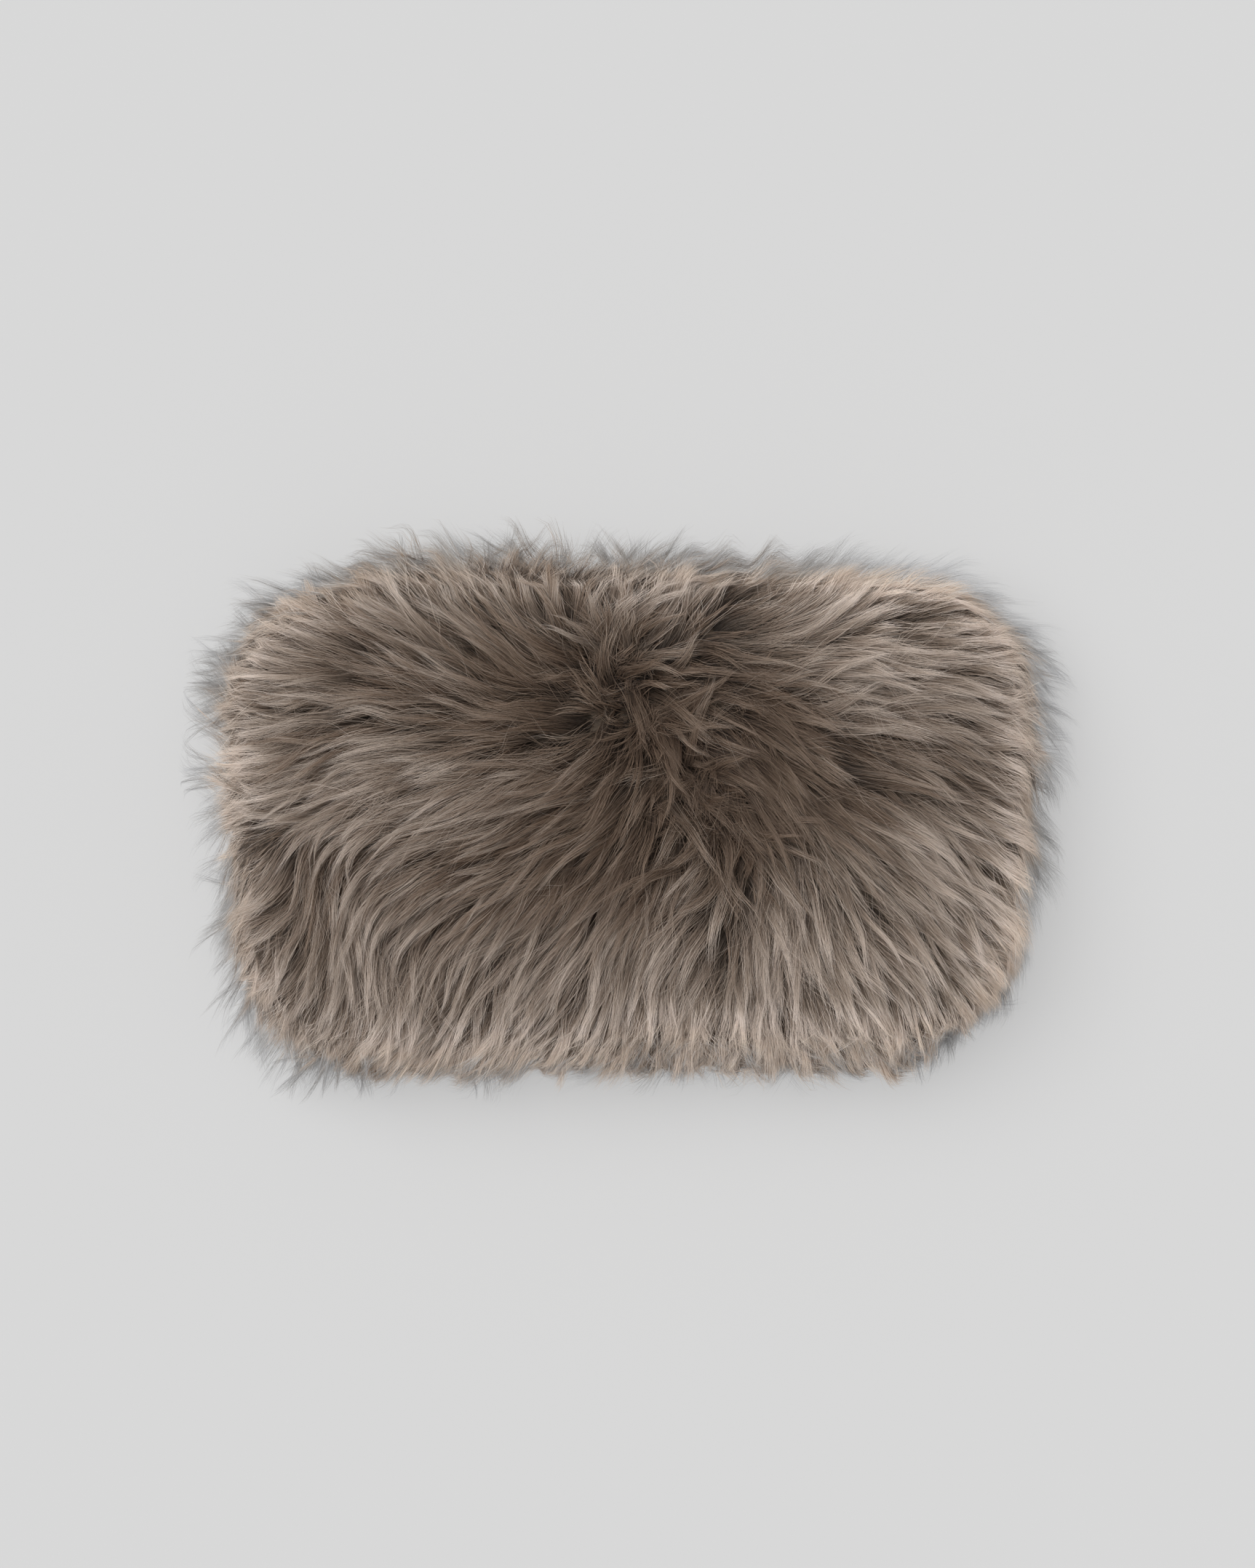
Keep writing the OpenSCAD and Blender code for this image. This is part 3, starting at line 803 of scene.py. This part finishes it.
def tape_material():
    """Zip tape: herringbone twill along the zip."""
    mat, tree, shader = material("zip_tape")
    x, _, z = axes(tree, object_place(tree))
    row = maths(tree, "PINGPONG", maths(tree, "MULTIPLY", z, 1 / MM), 1.1)
    pitch = 0.7 * MM
    twill = maths(tree, "MULTIPLY_ADD", x, 1 / pitch, row)
    rib = maths(tree, "PINGPONG", twill, 0.5)
    fibre = noise(tree, object_place(tree, (300, 900, 900)), 1.0, 3.0)
    # Darker in the furrows of the twill: painted shade
    colour = ramp(tree, rib, [(0.05, (0.045, 0.034, 0.026)), (0.45, (0.14, 0.112, 0.088))])
    vary = ramp(tree, fibre, [(0.3, (0.8, 0.8, 0.8)), (0.7, (1.1, 1.1, 1.1))])
    tree.links.new(multiply(tree, colour, vary), shader.inputs["Base Color"])
    roughen(tree, shader, fibre, 0.7, 0.9)
    bump(tree, shader, rib, 0.2 * MM)
    return mat


def metal_material():
    """Antiqued brass: tarnish in patches, fine tumbling scratches and brighter wear."""
    mat, tree, shader = material("zip_metal")
    place = object_place(tree)
    tarnish = noise(tree, place, 340.0, 5.0, 0.6)
    scratch = noise(tree, object_place(tree, (420, 3800, 3800)), 1.0, 3.0)
    colour = ramp(tree, tarnish, [(0.3, (0.17, 0.12, 0.07)), (0.5, (0.42, 0.31, 0.18)),
                                  (0.7, (0.66, 0.52, 0.32))])
    tree.links.new(colour, shader.inputs["Base Color"])
    shader.inputs["Metallic"].default_value = 1.0
    roughen(tree, shader, mix(tree, 0.5, tarnish, scratch), 0.52, 0.22)
    bump(tree, shader, scratch, 0.04 * MM, 0.5)
    return mat


def cotton_material():
    """Bleached cotton cambric of the inner case."""
    mat, tree, shader = material("cotton")
    warp = noise(tree, object_place(tree, (1400, 70, 300)), 1.0, 2.0)
    weft = noise(tree, object_place(tree, (70, 1400, 300)), 1.0, 2.0)
    cloth = maths(tree, "MAXIMUM", warp, weft)
    colour = ramp(tree, cloth, [(0.4, (0.52, 0.5, 0.46)), (0.7, (0.76, 0.74, 0.7))])
    tree.links.new(colour, shader.inputs["Base Color"])
    roughen(tree, shader, cloth, 0.92, 0.75)
    bump(tree, shader, cloth, 0.2 * MM)
    return mat


def filling_material():
    """Crimped polyester fibre, clumped."""
    mat, tree, shader = material("filling")
    fibre = noise(tree, object_place(tree, (1, 1, 3)), 240.0, 8.0, 0.75)
    clump = noise(tree, object_place(tree), 30.0)
    height = maths(tree, "MULTIPLY_ADD", clump, 2.0, fibre)
    colour = ramp(tree, fibre, [(0.3, (0.62, 0.62, 0.61)), (0.65, (0.86, 0.86, 0.85))])
    tree.links.new(colour, shader.inputs["Base Color"])
    roughen(tree, shader, fibre, 0.95, 0.7)
    bump(tree, shader, height, 1.2 * MM)
    return mat


# ---- Build ----

def shell(name, rows, next_rows, tip, next_tip):
    """A panel with thickness: one surface out to the cover's edge, the other back again.
    Both lists of rings run outwards from the middle."""
    both = rows + next_rows[::-1]
    obj = grid_mesh(name, both, first=tip, last=next_tip)
    panel_run(obj, both)
    return obj


def soft_piece(obj, mat, node_name):
    obj.data.materials.append(mat)
    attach(obj, "cover")
    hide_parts(node_name)


hide_rows, back_rows = upper_rows(0, 0), lower_rows(0, 0)
hide = shell("hide_skin", upper_rows(HIDE_T, HIDE_T)[::-1], hide_rows[::-1],
             (0, 0, CROWN - HIDE_T), (0, 0, CROWN))
soft_piece(hide, hide_shade_material(), "sheepskin_hide")
back = shell("back_cloth", back_rows, lower_rows(BACK_T, BACK_T), (0, 0, 0), (0, 0, BACK_T))
soft_piece(back, back_material(), "back_panel")

# The cover's outer surfaces on their own, for the wool to grow from and lie on
skin = grid_mesh("skin", hide_rows, last=(0, 0, CROWN))
base = grid_mesh("base", back_rows, first=(0, 0, 0))
body = Body([skin, base])

# CAD parts that stay as they are and get a material
CAD_LOOKS = (
    (thread_material, ("side_seam_thread", "zip_topstitch_upper", "zip_topstitch_lower",
                       "zip_bar_tacks", "inner_case_thread")),
    (label_material, ("care_label",)),
    (tape_material, ("zip_tape_upper", "zip_tape_lower")),
    (metal_material, ("zip_teeth_upper", "zip_teeth_lower", "zip_slider", "pull_tab",
                      "zip_bottom_stop", "zip_top_stops")),
    (cotton_material, ("inner_case_top", "inner_case_bottom")),
    (filling_material, ("filling",)),
)
for make, names in CAD_LOOKS:
    look = make()
    for name in names:
        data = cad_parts[name].data
        data.materials.clear()
        data.materials.append(look)


# ---- Wool ----

def has_wool(at):
    """Where wool grows: the whole hide, except its folded edge along the zip."""
    zip_side = (at[:, 1] < -HALF_D + 6 * MM) & (np.abs(at[:, 0]) < ZIP_HALF)
    return np.where(zip_side & (at[:, 2] < SEAM + 14 * MM), 0.0, 1.0)


def at_rim(at):
    """Where the outer fringe grows: the hide's last few centimetres before the seam."""
    gap = past_seam(at[:, :2])[1]
    return has_wool(at) * smoothstep(gap, -26 * MM, -4 * MM)


def at_back(at):
    """Where the long wisps of the rear edge grow."""
    x = at[:, 0]
    within = smoothstep(x, -175 * MM, -140 * MM) * smoothstep(x, 60 * MM, 30 * MM)
    return at_rim(at) * within * (at[:, 1] > 0)


def at_left(at):
    """Where the long wisps of the left edge and its rear corner grow."""
    behind = smoothstep(at[:, 1], -80 * MM, -40 * MM)
    return at_rim(at) * behind * smoothstep(at[:, 0], -150 * MM, -200 * MM)


def at_parting(at):
    """Where the short tousled curls grow."""
    share = np.zeros(len(at))
    for x, y, r, amount in CURLY:
        gap = np.hypot(at[:, 0] - x * MM, at[:, 1] - y * MM)
        share = np.maximum(share, amount * (1 - smoothstep(gap, 0.4 * r * MM, 1.1 * r * MM)))
    return share * (at[:, 2] > CROWN / 2)


def rim_share(p, u):
    """How far each point is through the rim's pale zone, from 0 inside it to 1 at its end.
    The zone's tan is partly painted sheen and its grey ends partly painted shade.
    """
    flat = p.reshape(-1, 3)[:, :2]
    gap = past_seam(flat)[1] - spots(flat, REACH, 14) * MM + waves(flat, 18 * MM, 21) * 5 * MM
    return smoothstep(gap.reshape(p.shape[:2]), -46 * MM, 2 * MM) * smoothstep(u, 0.35, 0.75)


def comb_locks(count, length, depth, per_lock, spread, width, tone, grows=has_wool, wave=1.6,
               frizz=0.4, gather=0.6, share=0.35, natural=46, trim=0, splay=7, rim_light_and_bleach=0.55,
               **more):
    """Grows one coat of wool and gives its fibres' centre lines, up directions, widths and
    chart places. Lengths are in millimetres. length and depth are ranges, spread is a lock's
    radius, width a fibre's full width, tone the place across the chart, and
    rim_light_and_bleach how far the rim's colours come in: partly paler tips, partly painted
    sheen and painted shade."""
    length, depth = np.array(length) * MM, np.array(depth) * MM
    spread, width, wave, frizz = spread * MM, width * MM, wave * MM, frizz * MM
    at, normal = roots(skin, count, grows)
    ruffled = 1 - comb(at[:, :2])[1]
    length = rng.uniform(*length, count) * (1 - 0.35 * ruffled)
    depth = rng.uniform(*depth, count) * (1 + 0.28 * waves(at, 34 * MM, 13))
    path, ups, loose = grow(at, normal, length, depth, body, **more)
    path = add_waves(path, ups, length, (rng.uniform(0.3, 1, count) + loose) * wave,
                     rng.uniform(45, 85, count) * MM)
    size = spread * rng.uniform(0.7, 1.25, count)
    centre, up, owner = strands(path, ups, length, per_lock, size, gather, frizz, share)
    centre = brush_out(centre, owner, natural * MM, trim * MM, splay * MM)
    centre = clear_of_zip(hold_in(centre, cad_box[1]))

    u = np.linspace(0, 1, centre.shape[1])[None, :]
    taper = np.interp(u, [0, 0.25, 0.7, 1], [0.7, 1, 0.8, 0.1])
    thick = rng.uniform(0.7, 1.3, len(owner))[:, None] * width * taper
    # Tone table: the fleece's own lighter and darker places, with painted sheen and painted
    # shade
    place = spots(path[:, path.shape[1] * 2 // 3, :2], TONE_AND_PAINTED_LIGHT, 16)
    place *= np.where(place < 0, 0.4, 0.5)
    lock_tone = np.clip(rng.normal(tone, 0.09, count) + place, 0.08, 0.92)[owner]
    shade = np.clip(lock_tone + rng.normal(0, 0.11, len(owner)), 0.05, 0.95)
    out = 0.5 * u
    # The rim's colours come in here: partly paler tips, partly painted sheen and painted shade
    out = out + (1 - out) * rim_light_and_bleach * rim_share(centre, u)
    uv = np.stack([np.broadcast_to(shade[:, None], out.shape), CHART_ROOT + CHART_RUN * out], -1)
    return centre, up, thick, uv


COATS = (
    # Short dense undercoat
    comb_locks(1400, (38, 55), (6, 16), 20, 7, 0.6, 0.22, trim=13),
    # Short tousled curls along the parting
    comb_locks(160, (26, 44), (6, 15), 28, 8, 0.36, 0.36, gather=0.5, stray=0.9,
               grows=at_parting, wave=4, frizz=0.8),
    # Main coat, and paler locks over it
    comb_locks(1650, (60, 92), (15, 27), 38, 8, 0.34, 0.4, gather=0.5, stray=0.16, trim=16,
               splay=12),
    comb_locks(900, (64, 98), (23, 31), 40, 8.5, 0.28, 0.54, gather=0.5, share=0.1,
               stray=0.2, trim=14, splay=14),
    # Fringe of the rim, then the long wisps of its rear and left edges
    comb_locks(1200, (62, 100), (10, 30), 24, 7.5, 0.2, 0.46, gather=0.7, share=0.15,
               stray=0.3, grows=at_rim, natural=42, stiff=0.8, weight=0.2, rim_light_and_bleach=1.0, splay=16),
    comb_locks(75, (80, 105), (20, 34), 20, 8, 0.2, 0.4, gather=0.85, stray=0.4,
               grows=at_back, natural=37, stiff=0.85, weight=0.15, wave=2, rim_light_and_bleach=0.8),
    comb_locks(50, (66, 90), (16, 30), 20, 8, 0.2, 0.42, gather=0.85, stray=0.25,
               grows=at_left, natural=52, stiff=0.85, weight=0.25, wave=2, rim_light_and_bleach=0.85,
               splay=4),
    # Fine stray hairs over everything
    comb_locks(2000, (70, 105), (24, 38), 3, 5, 0.18, 0.64, gather=0.4, stiff=0.8,
               stray=0.45, wave=3, frizz=0.9, rim_light_and_bleach=0.8),
)
for made in (skin, base):
    bpy.data.objects.remove(made)
centre, up, thick, uv = (np.concatenate(made) for made in zip(*COATS))

# The wool is split into tiles by where its fibres grow
COLUMNS, ROWS = 6, 4
wool = wool_material()
tiles = []
for strip in np.array_split(np.argsort(centre[:, 0, 0], kind="stable"), COLUMNS):
    strip = strip[np.argsort(centre[strip, 0, 1], kind="stable")]
    tiles += np.array_split(strip, ROWS)
for number, tile in enumerate(tiles, 1):
    piece = ribbons(f"wool_{number:02d}", centre[tile], up[tile], thick[tile], uv[tile])
    piece.data.materials.append(wool)
    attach(piece, "cover")
    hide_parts("wool_pile")


# ---- Floor, light and camera ----

# The paper glows a little, so that it stays pale in soft light
FLOOR_HALF = 6
FLOOR_DROP = 0.5 * MM       # keeps the floor clear of the cushion's flat base
corners = [(x * FLOOR_HALF, y * FLOOR_HALF, 0) for x, y in ((-1, -1), (1, -1), (1, 1), (-1, 1))]
mesh = bpy.data.meshes.new("floor")
mesh.from_pydata(corners, [], [(0, 1, 2, 3)])
floor = bpy.data.objects.new("floor", mesh)
bpy.context.scene.collection.objects.link(floor)
floor.location.z = -FLOOR_DROP
paper, _, shader = material("paper")
shader.inputs["Base Color"].default_value = (0.34, 0.34, 0.34, 1)
shader.inputs["Emission Color"].default_value = (1, 1, 1, 1)
shader.inputs["Emission Strength"].default_value = 0.385
shader.inputs["Roughness"].default_value = 0.9
shader.inputs["Specular IOR Level"].default_value = 0.1
mesh.materials.append(paper)

KEY_AIM = Vector((0.62, -0.46, -1.5))
light = bpy.data.lights.new("key", "SUN")
light.energy = 1.65
light.angle = math.radians(55)
key = bpy.data.objects.new("key", light)
key.rotation_euler = KEY_AIM.to_track_quat("-Z", "Y").to_euler()
bpy.context.scene.collection.objects.link(key)

world = bpy.data.worlds.new("studio")
bpy.context.scene.world = world
world.use_nodes = True
sky = world.node_tree.nodes["Background"]
sky.inputs["Color"].default_value = (1, 1, 1, 1)
sky.inputs["Strength"].default_value = 0.42

PICTURE_H = 970 * MM        # height of the picture at the wool's mid height
MID_HEIGHT = 80 * MM
DISTANCE = 2.4              # from the camera to that height
SENSOR = 36                 # in millimetres, as is the focal length
camera_data = bpy.data.cameras.new("camera")
camera_data.sensor_width = SENSOR
camera_data.lens = SENSOR * DISTANCE / PICTURE_H
camera = bpy.data.objects.new("camera", camera_data)
camera.location = (-3 * MM, 17 * MM, MID_HEIGHT + DISTANCE)
bpy.context.scene.collection.objects.link(camera)
bpy.context.scene.camera = camera
bpy.context.scene.view_settings.view_transform = "Standard"
